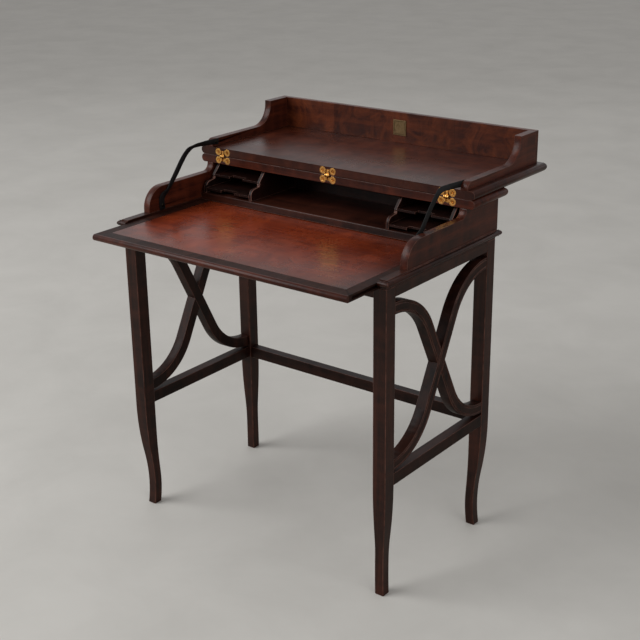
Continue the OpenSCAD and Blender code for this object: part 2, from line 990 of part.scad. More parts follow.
module back_stretcher() {
    color([0.23, 0.1, 0.07])
        placed()
            stretcher_back();
}

module cross_bar_right_outer() {
    color([0.21, 0.09, 0.07])
        placed()
            bar_right(true);
}

module cross_bar_right_inner() {
    color([0.21, 0.09, 0.07])
        placed()
            bar_right(false);
}

module cross_bar_left_outer() {
    mirror([1, 0, 0])
        cross_bar_right_outer();
}

module cross_bar_left_inner() {
    mirror([1, 0, 0])
        cross_bar_right_inner();
}

module ledge_right() {
    color([0.25, 0.12, 0.09])
        placed()
            ledge_side_right();
}

module ledge_left() {
    mirror([1, 0, 0])
        ledge_right();
}

module ledge_back() {
    color([0.25, 0.12, 0.09])
        placed()
            difference() {
                intersection() {
                    ledge_ring();
                    block([-ledge_out_x - 5, 0, leg_top - 5],
                          [ledge_out_x + 5, ledge_out_y + 5, writing_height + 5]);
                }
                for (s = [0, 1])
                    mirror([s, 0, 0])
                        translate([0, 0, leg_top - 5])
                            linear_extrude(ledge_thick + 10)
                                ledge_side_plan();
            }
}

module runner_right() {
    color([0.45, 0.28, 0.16])
        placed()
            runner_side_right();
}

module runner_left() {
    mirror([1, 0, 0])
        runner_right();
}

module case_side_left() {
    mirror([1, 0, 0])
        case_side_right();
}

module case_back() {
    color([0.24, 0.11, 0.08])
        placed()
            block([-case_in, back_in, writing_height], [case_in, case_rear, top_z]);
}

module raised_floor() {
    color([0.2, 0.09, 0.07])
        placed()
            floor_board();
}

module fixed_top() {
    color([0.27, 0.12, 0.09])
        placed()
            difference() {
                intersection() {
                    along_y(hinge_y - 10, fixed_rear + 5)
                        board_section();
                    along_x(-top_half - 5, top_half + 5)
                        edge_section(hinge_y, fixed_rear);
                }
                at_hinges()
                    hinge_mortise();
            }
}

module rack_right_outer_side() {
    color([0.26, 0.12, 0.09])
        placed()
            rack_side_housed(rack_out - rack_board);
}

module rack_right_inner_side() {
    color([0.26, 0.12, 0.09])
        placed()
            rack_side_housed(rack_in);
}

module rack_right_upper_shelf() {
    color([0.3, 0.14, 0.1])
        placed()
            rack_shelf_upper();
}

module rack_right_lower_shelf() {
    color([0.3, 0.14, 0.1])
        placed()
            rack_shelf_lower();
}

module rack_left_outer_side() {
    mirror([1, 0, 0])
        rack_right_outer_side();
}

module rack_left_inner_side() {
    mirror([1, 0, 0])
        rack_right_inner_side();
}

module rack_left_upper_shelf() {
    mirror([1, 0, 0])
        rack_right_upper_shelf();
}

module rack_left_lower_shelf() {
    mirror([1, 0, 0])
        rack_right_lower_shelf();
}

module slide_core() {
    color([0.35, 0.17, 0.11])
        placed()
            translate([0, 0, slide_bottom])
                linear_extrude(slide_thick - field_thick)
                    field_plan();
}

module slide_field() {
    color([0.52, 0.23, 0.14])
        placed()
            translate([0, 0, slide_top - field_thick])
                linear_extrude(field_thick)
                    field_plan();
}

module slide_border_front() {
    color([0.24, 0.12, 0.1])
        placed()
            intersection() {
                border_block();
                mitre("front");
            }
}

module slide_border_back() {
    color([0.24, 0.12, 0.1])
        placed()
            intersection() {
                border_block();
                mitre("back");
            }
}

module slide_border_right() {
    color([0.24, 0.12, 0.1])
        placed()
            border_right();
}

module slide_border_left() {
    mirror([1, 0, 0])
        slide_border_right();
}

module slide_nosing() {
    r = slide_thick / 2;
    color([0.28, 0.14, 0.1])
        placed()
            along_x(-slide_half, slide_half)
                intersection() {
                    union() {
                        translate([slide_nose + r, slide_bottom + r])
                            circle(r = r);
                        translate([slide_nose + r, slide_bottom])
                            square([nosing_depth, slide_thick]);
                    }
                    translate([slide_nose - 1, slide_bottom - 1])
                        square([nosing_depth + 1, slide_thick + 2]);
                }
}

module lid_leaf() {
    color([0.27, 0.12, 0.09])
        placed()
            difference() {
                opened()
                    intersection() {
                        along_y(lid_leaf_front - 5, lid_leaf_edge + 5)
                            board_section();
                        along_x(-top_half - 5, top_half + 5)
                            edge_section(lid_leaf_edge, lid_leaf_front);
                    }
                lid_side_of_hinge()
                    at_hinges()
                        hinge_mortise();
            }
}

module lid_front_board() {
    color([0.24, 0.11, 0.08])
        placed()
            difference() {
                opened()
                    block([-case_out, lid_front, lid_bottom],
                          [case_out, lid_front + lid_board_thick, top_z]);
                plaque_pin_set(0);
            }
}

module lid_side_right() {
    color([0.25, 0.11, 0.08])
        placed()
            difference() {
                opened()
                    along_x(case_in, case_out)
                        lid_side_outline();
                strap_hole_lid();
            }
}

module lid_side_left() {
    mirror([1, 0, 0])
        lid_side_right();
}

// Pins of the plaque. Their shanks run into the board behind it.
module plaque_pin_set(head) {
    y0 = 2 * pivot_y - lid_front - lid_board_thick;
    zc = 2 * pivot_z - (lid_bottom + top_z) / 2;
    e = plaque_side / 2 - 4;
    for (sx = [-1, 1])
        for (sz = [-1, 1]) {
            rod_y(sx * e, y0 - plaque_thick, y0 + 7, zc + sz * e, 1.8);
            if (head > 0)
                rod_y(sx * e, y0 - plaque_thick - 0.9, y0 - plaque_thick, zc + sz * e, 3.6);
        }
}

module plaque() {
    y0 = 2 * pivot_y - lid_front - lid_board_thick;
    zc = 2 * pivot_z - (lid_bottom + top_z) / 2;
    color([0.5, 0.42, 0.28])
        placed()
            difference() {
                block([-plaque_side / 2, y0 - plaque_thick, zc - plaque_side / 2],
                      [plaque_side / 2, y0, zc + plaque_side / 2]);
                plaque_pin_set(0);
            }
}

module plaque_pins() {
    color([0.6, 0.48, 0.28])
        placed()
            plaque_pin_set(1);
}

module hinge_plates_top() {
    color([0.83, 0.66, 0.3])
        placed()
            at_hinges()
                hinge_plate(false, 0);
}

module hinge_plates_lid() {
    color([0.83, 0.66, 0.3])
        placed()
            lid_side_of_hinge()
                at_hinges()
                    hinge_plate(true, 0);
}

module hinge_pins() {
    color([0.75, 0.6, 0.3])
        placed()
            at_hinges()
                rod_x(-knuckle_half - lug_gap - lug_wide, knuckle_half + lug_gap + lug_wide,
                      pivot_y, pivot_z, hinge_pin_d);
}

module hinge_screws_top() {
    color([0.7, 0.55, 0.28])
        placed()
            at_hinges()
                for (s = [-1, 1])
                    hinge_screw(s * lobe_pitch / 2, top_face - top_thick / 2, 0);
}

module hinge_screws_lid() {
    color([0.7, 0.55, 0.28])
        placed()
            lid_side_of_hinge()
                at_hinges()
                    for (s = [-1, 1])
                        hinge_screw(s * lobe_pitch / 2, top_face - top_thick / 2, 0);
}

module strap_right() {
    color([0.06, 0.06, 0.06])
        placed()
            strap_right_shape();
}

module strap_left() {
    mirror([1, 0, 0])
        strap_right();
}

module strap_screws_case() {
    color([0.6, 0.48, 0.25])
        placed()
            for (s = [0, 1])
                mirror([s, 0, 0])
                    strap_screw(strap_foot);
}

module strap_screws_lid() {
    color([0.6, 0.48, 0.25])
        placed()
            for (s = [0, 1])
                mirror([s, 0, 0])
                    strap_screw(strap_end);
}

leg_front_left();
leg_front_right();
leg_back_left();
leg_back_right();
side_rail_left();
side_rail_right();
front_rail();
back_rail();
side_stretcher_left();
side_stretcher_right();
back_stretcher();
cross_bar_left_outer();
cross_bar_left_inner();
cross_bar_right_outer();
cross_bar_right_inner();
ledge_left();
ledge_right();
ledge_back();
runner_left();
runner_right();
case_side_left();
case_side_right();
case_back();
raised_floor();
fixed_top();
rack_left_outer_side();
rack_left_inner_side();
rack_left_upper_shelf();
rack_left_lower_shelf();
rack_right_outer_side();
rack_right_inner_side();
rack_right_upper_shelf();
rack_right_lower_shelf();
slide_core();
slide_field();
slide_border_front();
slide_border_back();
slide_border_left();
slide_border_right();
slide_nosing();
lid_leaf();
lid_front_board();
lid_side_left();
lid_side_right();
plaque();
plaque_pins();
hinge_plates_top();
hinge_plates_lid();
hinge_pins();
hinge_screws_top();
hinge_screws_lid();
strap_left();
strap_right();
strap_screws_case();
strap_screws_lid();
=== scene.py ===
"""Fold-over campaign writing desk: finishes, stay straps, studio and camera round the model."""
import math

import bmesh
import bpy
from mathutils import Matrix, Vector


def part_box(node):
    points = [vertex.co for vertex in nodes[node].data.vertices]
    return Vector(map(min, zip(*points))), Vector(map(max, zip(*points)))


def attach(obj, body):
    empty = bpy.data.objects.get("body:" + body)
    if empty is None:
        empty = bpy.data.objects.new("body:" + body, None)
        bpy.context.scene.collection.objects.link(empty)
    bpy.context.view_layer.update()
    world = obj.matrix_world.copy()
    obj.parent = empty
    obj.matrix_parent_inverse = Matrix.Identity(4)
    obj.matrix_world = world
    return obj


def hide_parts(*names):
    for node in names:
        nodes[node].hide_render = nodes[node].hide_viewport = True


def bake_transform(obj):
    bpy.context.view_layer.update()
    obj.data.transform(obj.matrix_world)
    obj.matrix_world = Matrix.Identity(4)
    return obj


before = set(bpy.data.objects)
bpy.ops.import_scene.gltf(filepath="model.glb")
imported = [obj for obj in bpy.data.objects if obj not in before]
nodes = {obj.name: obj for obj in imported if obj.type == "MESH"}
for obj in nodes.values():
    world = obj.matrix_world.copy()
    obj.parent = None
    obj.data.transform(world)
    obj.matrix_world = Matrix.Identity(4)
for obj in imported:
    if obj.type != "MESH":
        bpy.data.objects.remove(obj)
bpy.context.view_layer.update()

# Which way each side and row lies from the middle
SIDES = {"left": -1, "right": 1}
ROWS = {"front": -1, "back": 1}


# Helpers for colours and shader nodes

def rgb(red, green, blue):
    """Linear colour of a display colour given from 0 to 255."""
    def linear(value):
        value /= 255
        return value / 12.92 if value <= 0.04045 else ((value + 0.055) / 1.055) ** 2.4
    return (linear(red), linear(green), linear(blue), 1.0)


def feed(tree, node, inputs):
    """Links or sets the inputs of a node."""
    for key, value in inputs.items():
        if isinstance(value, bpy.types.NodeSocket):
            tree.links.new(value, node.inputs[key])
        else:
            node.inputs[key].default_value = value


def add(tree, kind, inputs=None, **settings):
    """A shader node with its settings and inputs."""
    node = tree.nodes.new("ShaderNode" + kind)
    for name, value in settings.items():
        setattr(node, name, value)
    feed(tree, node, inputs or {})
    return node


def ramp(tree, factor, stops):
    """Colour from a factor through (place, colour) stops."""
    node = add(tree, "ValToRGB", {"Fac": factor})
    elements = node.color_ramp.elements
    elements.remove(elements[1])
    elements[0].position, elements[0].color = stops[0]
    for place, colour in stops[1:]:
        elements.new(place).color = colour
    return node.outputs["Color"]


def spread(tree, value, given, wanted=(0.0, 1.0)):
    """Maps a value from the given (low, high) to the wanted one, held at the ends."""
    return add(tree, "MapRange", {"Value": value, "From Min": given[0], "From Max": given[1],
                                  "To Min": wanted[0], "To Max": wanted[1]}).outputs["Result"]


def mix(tree, factor, first, second):
    """The first colour turning into the second as the factor rises."""
    return add(tree, "Mix", {0: factor, 6: first, 7: second}, data_type="RGBA").outputs[2]


def noise(tree, place, scale, detail=2.0, rough=0.5, warp=0.0):
    """Cloudy noise, from 0 to 1."""
    return add(tree, "TexNoise", {"Vector": place, "Scale": scale, "Detail": detail,
                                  "Roughness": rough, "Distortion": warp}).outputs["Fac"]


def calculate(tree, kind, first, second=0.0):
    """One sum on two numbers."""
    return add(tree, "Math", {0: first, 1: second}, operation=kind).outputs[0]


def vector(tree, kind, first, second):
    """One sum on two vectors."""
    return add(tree, "VectorMath", {0: first, 1: second}, operation=kind).outputs[0]


def scaled(tree, colour, factor):
    """A colour or vector times a number."""
    return add(tree, "VectorMath", {0: colour, "Scale": factor}, operation="SCALE").outputs[0]


def bumped(tree, height, strength, distance):
    """A surface normal from a height, which at 1 stands out by the distance, in metres."""
    return add(tree, "Bump", {"Height": height, "Strength": strength,
                              "Distance": distance}).outputs["Normal"]


def object_place(tree):
    """Where a point lies in the frame, in metres."""
    return add(tree, "TexCoord").outputs["Object"]


# The furthest that the patterns of two pieces are shifted apart, in metres
PIECE_SHIFT = (3.1, 5.7, 4.3)


def piece_place(tree):
    """Where a point lies, shifted by piece, so that no two pieces show the same pattern."""
    chance = add(tree, "ObjectInfo").outputs["Random"]
    return vector(tree, "ADD", object_place(tree), scaled(tree, PIECE_SHIFT, chance))


def start_material(name):
    """A new material, its node tree and its Principled shader."""
    material = bpy.data.materials.new(name)
    material.use_nodes = True
    tree = material.node_tree
    return material, tree, tree.nodes["Principled BSDF"]


# Wood, brass and leather

# Scale of the streaks, drawn out along the grain, and of the ribbon figure, drawn out across it
GRAIN = {"x": (0.06, 1.0, 1.0), "y": (1.0, 0.06, 1.0), "z": (1.0, 1.0, 0.06)}
RIBBON = {"x": (1.0, 0.22, 0.22), "y": (0.22, 1.0, 0.22), "z": (0.22, 0.22, 1.0)}

# Colour of rubbed arrises, partly real rubbing and partly painted highlight, and the share of the
# dark tone that is left in a pore
RUBBED_AND_HIGHLIGHT = rgb(122, 82, 70)
PORE_TONE = 0.4
COAT_ROUGH = 0.24
# How strong the relief of pores, brass and leather is, and how high, in metres
PORE_BUMP = 0.24
BRASS_BUMP = 0.18
LEATHER_BUMP = 0.35
FINE_RELIEF = 0.0002
LEATHER_RELIEF = 0.0004


def wood(name, grain, tones, rough=0.34, coat=0.04, specular=0.2, figure=0.5, wear_and_highlight=0.0,
         streak=0.22, mottle=0.0, pore=0.5, shade=None):
    """French-polished mahogany with its grain along one axis, in dark, middle and light tones.

    A larger streak gives softer streaks, mottle adds cloudy lighter patches, and pore sets how
    far the dark pores show and how deep they are.
    shade takes (tree, place) and gives a factor on the colour from place to place."""
    dark, mid, light = tones
    material, tree, shader = start_material(name)
    place = piece_place(tree)
    along = vector(tree, "MULTIPLY", place, GRAIN[grain])
    across = vector(tree, "MULTIPLY", place, RIBBON[grain])
    streaks = noise(tree, along, scale=55, detail=6, rough=0.62, warp=0.25)
    ribbon = noise(tree, across, scale=34, detail=3, rough=0.55, warp=0.5)
    cloud = noise(tree, place, scale=4.5, detail=3, rough=0.6, warp=0.3)
    pores = noise(tree, along, scale=620)
    smear = noise(tree, place, scale=9, detail=4, rough=0.6)
    colour = ramp(tree, streaks, ((0.5 - streak, dark), (0.5, mid), (0.5 + streak, light)))
    colour = mix(tree, spread(tree, ribbon, (0.42, 0.7), (0, figure)), colour, light)
    if mottle:
        patches = noise(tree, place, scale=15, detail=5, rough=0.62, warp=1.6)
        colour = mix(tree, spread(tree, patches, (0.44, 0.68), (0, mottle)), colour, light)
    colour = scaled(tree, colour, spread(tree, cloud, (0.3, 0.7), (0.7, 1.2)))
    dashes = spread(tree, pores, (0.58, 0.68), (0, pore))
    colour = mix(tree, dashes, colour, tuple(c * PORE_TONE for c in dark[:3]) + (1,))
    # On the writing field this factor carries painted light and painted shade
    if shade:
        colour = scaled(tree, colour, shade(tree, object_place(tree)))
    # Lighter patches on arrises: partly real rubbing, partly painted highlight
    if wear_and_highlight:
        rub_and_highlight = noise(tree, place, scale=26, detail=4, rough=0.65)
        colour = mix(tree, spread(tree, rub_and_highlight, (0.44, 0.64), (0, wear_and_highlight)), colour, RUBBED_AND_HIGHLIGHT)
    feed(tree, shader, {
        "Base Color": colour,
        "Roughness": spread(tree, smear, (0.3, 0.7), (rough - 0.05, rough + 0.07)),
        "Specular IOR Level": specular,
        "Coat Weight": coat,
        "Coat Roughness": COAT_ROUGH,
        "Normal": bumped(tree, calculate(tree, "MULTIPLY", dashes, -1.0), PORE_BUMP * pore,
                         FINE_RELIEF)})
    return material


def brass(name, bright, tarnish, rough=0.22, age=0.35):
    """Cast and polished brass with tarnish in patches."""
    material, tree, shader = start_material(name)
    place = piece_place(tree)
    patches = noise(tree, place, scale=160, detail=4, rough=0.65, warp=0.4)
    smear = noise(tree, place, scale=420, detail=3, rough=0.6)
    feed(tree, shader, {
        "Base Color": mix(tree, spread(tree, patches, (0.45, 0.7), (0, age)), bright, tarnish),
        "Metallic": 1.0,
        "Roughness": spread(tree, smear, (0.3, 0.75), (rough, rough + 0.2)),
        "Normal": bumped(tree, smear, BRASS_BUMP, FINE_RELIEF)})
    return material


def strap_leather(name):
    """Black leather, pebbled and scuffed."""
    material, tree, shader = start_material(name)
    place = piece_place(tree)
    pebbles = add(tree, "TexVoronoi", {"Vector": place, "Scale": 900.0},
                  feature="DISTANCE_TO_EDGE").outputs["Distance"]
    scuffs = noise(tree, place, scale=60, detail=5, rough=0.65)
    height = calculate(tree, "ADD", calculate(tree, "MULTIPLY", pebbles, 1.2), scuffs)
    feed(tree, shader, {
        "Base Color": mix(tree, spread(tree, scuffs, (0.45, 0.72)), rgb(12, 12, 13),
                          rgb(26, 25, 26)),
        "Roughness": spread(tree, scuffs, (0.3, 0.7), (0.5, 0.68)),
        "Specular IOR Level": 0.25,
        "Normal": bumped(tree, height, LEATHER_BUMP, LEATHER_RELIEF)})
    return material


# Tone over the writing field, the lid leaf and the lid's tall board, with painted light and
# painted shade on the field
# A tone is a factor on the colour, and a length is in metres

# How far a dark edge wanders, as a share of its width
EDGE_WAVE = 0.4
FIELD_EDGE = 0.07
FIELD_EDGE_TONE = 0.45
LEAF_EDGE = 0.09
LEAF_EDGE_TONE = 0.6
# Painted light on the field: it is lightest round this place, and turns to painted shade from the
# first reach to the second
FIELD_PAINTED_LIGHT_CENTRE = (-0.12, -0.27, 0)
FIELD_PAINTED_LIGHT_REACH = (0.08, 0.5)
FIELD_PAINTED_LIGHT_TONES = (1.15, 0.62)
# Where the seams of the veneer lie across the tall board, and the step in tone at each
PANEL_SEAMS = (-0.202, 0.158)
PANEL_STEPS = (0.86, 1.12)
SEAM_WIDTH = 0.0007
SEAM_TONE = 0.45


def edge_shade(tree, place, solid, reach, darkest):
    """Darkens a field towards its edges."""
    low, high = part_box(solid)
    middle = (low + high) / 2
    half = (high - low) / 2
    parts = add(tree, "SeparateXYZ", {"Vector": place}).outputs
    wave = calculate(tree, "MULTIPLY", noise(tree, place, scale=7, detail=3, rough=0.6),
                     reach * EDGE_WAVE)
    factors = []
    for axis in (0, 1):
        offset = calculate(tree, "SUBTRACT", parts[axis], middle[axis])
        offset = calculate(tree, "ABSOLUTE", offset)
        inward = calculate(tree, "ADD", calculate(tree, "SUBTRACT", half[axis], offset), wave)
        factors.append(spread(tree, inward, (0.0, reach), (darkest, 1.0)))
    return calculate(tree, "MULTIPLY", factors[0], factors[1])


def field_edges_and_painted_light(tree, place):
    """Darker edges, and painted light that is lightest left of the middle towards the front,
    falling off to painted shade further away.
    """
    offset = vector(tree, "SUBTRACT", place, FIELD_PAINTED_LIGHT_CENTRE)
    offset = vector(tree, "MULTIPLY", offset, (1, 1, 0))
    length = add(tree, "VectorMath", {0: offset}, operation="LENGTH").outputs["Value"]
    edges = edge_shade(tree, place, "slide_field", FIELD_EDGE, FIELD_EDGE_TONE)
    return calculate(tree, "MULTIPLY", spread(tree, length, FIELD_PAINTED_LIGHT_REACH, FIELD_PAINTED_LIGHT_TONES), edges)


def leaf_shade(tree, place):
    """The lid leaf, a little darker along its edges."""
    return edge_shade(tree, place, "lid_leaf", LEAF_EDGE, LEAF_EDGE_TONE)


def panel_shade(tree, place):
    """Three leaves of veneer side by side, each in its own tone, with fine dark seams."""
    along = add(tree, "SeparateXYZ", {"Vector": place}).outputs[0]
    factor = 1.0
    for seam, step in zip(PANEL_SEAMS, PANEL_STEPS):
        beyond = calculate(tree, "GREATER_THAN", along, seam)
        factor = calculate(tree, "MULTIPLY", factor, spread(tree, beyond, (0, 1), (1, step)))
        gap = calculate(tree, "ABSOLUTE", calculate(tree, "SUBTRACT", along, seam))
        dip = spread(tree, gap, (0, SEAM_WIDTH), (SEAM_TONE, 1))
        factor = calculate(tree, "MULTIPLY", factor, dip)
    return factor


# Finishes

DARK_TONES = (rgb(21, 9, 7), rgb(43, 20, 14), rgb(69, 34, 23))
RED_TONES = (rgb(31, 11, 7), rgb(60, 25, 16), rgb(94, 42, 25))
# The rack tones are darkened as painted shade of the pigeonholes
RACK_PAINTED_SHADE_TONES = (rgb(12, 6, 5), rgb(26, 11, 8), rgb(48, 21, 13))
BAND_TONES = (rgb(24, 12, 9), rgb(42, 22, 17), rgb(62, 34, 25))
LINE_TONES = (rgb(8, 4, 3), rgb(13, 7, 6), rgb(20, 11, 9))
FIELD_WOOD_TONES = (rgb(72, 24, 11), rgb(112, 41, 20), rgb(152, 64, 30))
PANEL_TONES = RED_TONES[:2] + (rgb(112, 54, 28),)
LEAF_TONES = RED_TONES[:2] + (rgb(98, 48, 30),)
BAR_TONES = (rgb(15, 7, 6), rgb(32, 16, 12), rgb(56, 29, 21))
PLAIN_TONES = (rgb(92, 58, 36), rgb(128, 84, 54), rgb(158, 112, 76))
# Pale pinkish-grey tones for arrises, painted highlight
PAINTED_HIGHLIGHT_TONES = (rgb(84, 54, 46), rgb(122, 86, 76), rgb(152, 114, 102))
# Lighter arris tones: partly real rubbing, partly painted highlight
WORN_AND_HIGHLIGHT_TONES = DARK_TONES[1:] + (rgb(100, 62, 50),)


def woods(name, axes, tones, **settings):
    """One wood with its grain along each of the axes."""
    return {axis: wood(name + "_" + axis, axis, tones, **settings) for axis in axes}


dark_wood = woods("mahogany_dark", "xyz", DARK_TONES)
red_wood = woods("mahogany_case", "xyz", RED_TONES)
# Letter racks and case back: wood darkened as painted shade
rack_painted_shade_wood = woods("mahogany_rack_painted_shade", "xy", RACK_PAINTED_SHADE_TONES, rough=0.42, coat=0.0)
band_wood = woods("mahogany_band", "xy", BAND_TONES, rough=0.44, coat=0.0, specular=0.1, pore=0.3)
joint_line = wood("mahogany_joint_line", "x", LINE_TONES, rough=0.5, coat=0.0, specular=0.1)
field_wood = wood("mahogany_field", "x", FIELD_WOOD_TONES, rough=0.26, coat=0.15, figure=0.3,
                  streak=0.5, mottle=0.6, pore=0.12, shade=field_edges_and_painted_light)
panel_wood = wood("mahogany_panel", "x", PANEL_TONES, figure=0.4, streak=0.5, mottle=0.85,
                  pore=0.2, shade=panel_shade)
leaf_wood = wood("mahogany_leaf", "x", LEAF_TONES, rough=0.3, coat=0.1, figure=0.4, streak=0.5,
                 mottle=0.5, pore=0.12, shade=leaf_shade)
bar_wood = woods("mahogany_bar", "xyz", BAR_TONES, rough=0.42, coat=0.0, specular=0.14)
plain_wood = wood("secondary_wood", "x", PLAIN_TONES, rough=0.6, coat=0.0, figure=0.2)
# Pale arrises for the racks and the raised floor: painted highlight, with rubbed patches mixed in
painted_highlight_edge = wood("mahogany_painted_highlight_edge", "x", PAINTED_HIGHLIGHT_TONES, rough=0.32, coat=0.2, wear_and_highlight=0.7)
# Lighter arrises on most pieces: partly real rubbing, partly painted highlight
worn_and_highlight_edge = wood("mahogany_worn_and_highlight_edge", "x", WORN_AND_HIGHLIGHT_TONES, coat=0.2, wear_and_highlight=0.5)
bright_brass = brass("brass_bright", rgb(226, 172, 96), rgb(128, 76, 30), age=0.5)
screw_brass = brass("brass_screw", rgb(196, 128, 58), rgb(104, 60, 24), rough=0.28, age=0.5)
pin_brass = brass("brass_pin", rgb(248, 214, 146), rgb(190, 130, 60), rough=0.18, age=0.2)
dull_brass = brass("brass_dull", rgb(128, 106, 76), rgb(74, 58, 40), rough=0.42, age=0.6)
dark_brass = brass("brass_blackened", rgb(44, 40, 34), rgb(22, 20, 18), rough=0.4, age=0.6)
leather = strap_leather("strap_leather")


# Which finish each solid carries, and how far its arrises are eased, in metres

EASED_WOOD = 0.0009
EASED_RACK_SIDE = 0.0012
EASED_THIN = 0.0006
EASED_BRASS = 0.0004
EASED_FIELD = 0.0002
EASED_ANGLE = math.radians(38)
FLAT_ANGLE = math.radians(0.2)
WELD_DISTANCE = 1e-6


def dress(solid, material, edge=None, width=EASED_WOOD, flatten=False):
    """Gives a solid, or a carried-over one by its name, its finish and eased arrises.

    flatten first joins the thin triangles of its flat faces."""
    if isinstance(solid, str):
        solid = nodes[solid]
    solid.data.materials.clear()
    solid.data.materials.append(material)
    solid.data.materials.append(edge or material)
    if flatten:
        flat = solid.modifiers.new("flat", "DECIMATE")
        flat.decimate_type = "DISSOLVE"
        flat.angle_limit = FLAT_ANGLE
    weld = solid.modifiers.new("weld", "WELD")
    weld.merge_threshold = WELD_DISTANCE
    bevel = solid.modifiers.new("arris", "BEVEL")
    bevel.width = width
    bevel.segments = 2
    bevel.limit_method = "ANGLE"
    bevel.angle_limit = EASED_ANGLE
    bevel.use_clamp_overlap = False
    bevel.material = 1
    bevel.harden_normals = True


for side in SIDES:
    dress("side_rail_" + side, dark_wood["y"])
    dress("side_stretcher_" + side, bar_wood["y"], worn_and_highlight_edge)
    dress("cross_bar_" + side + "_outer", bar_wood["z"], worn_and_highlight_edge)
    dress("cross_bar_" + side + "_inner", bar_wood["z"], worn_and_highlight_edge)
    dress("ledge_" + side, dark_wood["y"], worn_and_highlight_edge)
    dress("runner_" + side, plain_wood)
    dress("case_side_" + side, red_wood["y"], worn_and_highlight_edge)
    dress("lid_side_" + side, red_wood["y"], worn_and_highlight_edge)
    # Letter racks: painted shade in the wood, painted highlight on the arrises
    for part in ("outer_side", "inner_side"):
        dress("rack_" + side + "_" + part, rack_painted_shade_wood["y"], painted_highlight_edge, EASED_RACK_SIDE)
    for part in ("upper_shelf", "lower_shelf"):
        dress("rack_" + side + "_" + part, rack_painted_shade_wood["x"], painted_highlight_edge, EASED_THIN)
    dress("slide_border_" + side, band_wood["x"], joint_line, EASED_THIN)
for name in ("front_rail", "back_rail", "ledge_back"):
    dress(name, dark_wood["x"], worn_and_highlight_edge)
dress("back_stretcher", bar_wood["x"], worn_and_highlight_edge)
dress("lid_leaf", leaf_wood, worn_and_highlight_edge)
dress("fixed_top", red_wood["x"], worn_and_highlight_edge)
# The case back carries the rack wood's painted shade
dress("case_back", rack_painted_shade_wood["x"], worn_and_highlight_edge)
dress("raised_floor", dark_wood["x"], painted_highlight_edge)
dress("lid_front_board", panel_wood, worn_and_highlight_edge, flatten=True)
for name in ("slide_border_front", "slide_border_back"):
    dress(name, band_wood["y"], joint_line, EASED_THIN)
dress("slide_nosing", red_wood["x"], worn_and_highlight_edge, EASED_THIN)
dress("slide_core", plain_wood)
dress("slide_field", field_wood, width=EASED_FIELD)
for name, finish in (("hinge_plates_top", bright_brass), ("hinge_plates_lid", bright_brass),
                     ("hinge_screws_top", screw_brass), ("hinge_screws_lid", screw_brass),
                     ("hinge_pins", pin_brass), ("plaque", dull_brass),
                     ("plaque_pins", dull_brass), ("strap_screws_case", dark_brass),
                     ("strap_screws_lid", dark_brass)):
    dress(name, finish, width=EASED_BRASS)


# Pieces made here, measured in mm from the middle of the legs

stand_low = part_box("leg_front_left")[0] * 1000
stand_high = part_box("leg_back_right")[1] * 1000
# The middle of the legs lies this far in front of the origin
LEG_MIDDLE = -(stand_low.y + stand_high.y) / 2


def placed(x, y, z):
    """The point in the frame, in metres."""
    return (x / 1000, (y - LEG_MIDDLE) / 1000, z / 1000)


def ringed_piece(name, rings):
    """A smooth shaded piece over rings of points, closed at both ends."""
    made = bmesh.new()
    loops = [[made.verts.new(point) for point in ring] for ring in rings]
    for low_loop, high_loop in zip(loops, loops[1:]):
        for i in range(len(low_loop)):
            j = (i + 1) % len(low_loop)
            made.faces.new((low_loop[i], low_loop[j], high_loop[j], high_loop[i]))
    made.faces.new(loops[0])
    made.faces.new(loops[-1])
    bmesh.ops.recalc_face_normals(made, faces=made.faces)
    mesh = bpy.data.meshes.new(name)
    made.to_mesh(mesh)
    made.free()
    for face in mesh.polygons:
        face.use_smooth = True
    piece = bpy.data.objects.new(name, mesh)
    bpy.context.scene.collection.objects.link(piece)
    return piece


# Legs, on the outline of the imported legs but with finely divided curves

LEG_OUT = (stand_high.x, (stand_high.y - stand_low.y) / 2)
LEG_TOP = stand_high.z
LEG_SIDE = 33.0
LEG_EASED = 0.0014
ANKLE_INSET = 13.5
ANKLE_HEIGHT = 62.0
CURVE_TOP = 272.0
INNER_DROP = 135.0
INNER_INSET = 3.0
# Share of the lower arc in the sum of the two radii, on the outer and on the inner faces
OUTER_SHARE = 0.376
INNER_SHARE = 0.21
# Rings over the curved length, and the heights of those that divide the straight one
CURVE_STEPS = 48
STRAIGHT_RINGS = [420.0, 580.0]


def sway(inset, drop, share, z):
    """How far a face lies behind its straight line at height z: two arcs from the ankle up."""
    turn = 2 * math.atan(inset / drop)
    total = drop / math.sin(turn)
    low_r = total * share
    high_r = total - low_r
    split = ANKLE_HEIGHT + low_r * math.sin(turn)
    if z >= ANKLE_HEIGHT + drop:
        return 0.0
    if z > split:
        return high_r - math.sqrt(high_r ** 2 - (ANKLE_HEIGHT + drop - z) ** 2)
    return inset - low_r + math.sqrt(low_r ** 2 - (z - ANKLE_HEIGHT) ** 2)


def leg_rings(sign_x, sign_y):
    """One leg, square in section, as rings from the foot to the top."""
    curved = [i * CURVE_TOP / CURVE_STEPS for i in range(CURVE_STEPS + 1)]
    rings = []
    for z in curved + STRAIGHT_RINGS + [LEG_TOP]:
        outer = sway(ANKLE_INSET, CURVE_TOP - ANKLE_HEIGHT, OUTER_SHARE, z)
        inner = LEG_SIDE + sway(INNER_INSET, INNER_DROP, INNER_SHARE, z)
        rings.append([placed(sign_x * (LEG_OUT[0] - in_x), sign_y * (LEG_OUT[1] - in_y), z)
                      for in_x, in_y in ((outer, outer), (inner, outer), (inner, inner),
                                         (outer, inner))])
    return rings


for row, sign_y in ROWS.items():
    for side, sign_x in SIDES.items():
        name = row + "_" + side
        leg = ringed_piece("shaped_leg_" + name, leg_rings(sign_x, sign_y))
        dress(leg, dark_wood["z"], worn_and_highlight_edge, LEG_EASED)
        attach(leg, "stand")
        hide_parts("leg_" + name)


# Stay straps, from the case side up and over to the lid side

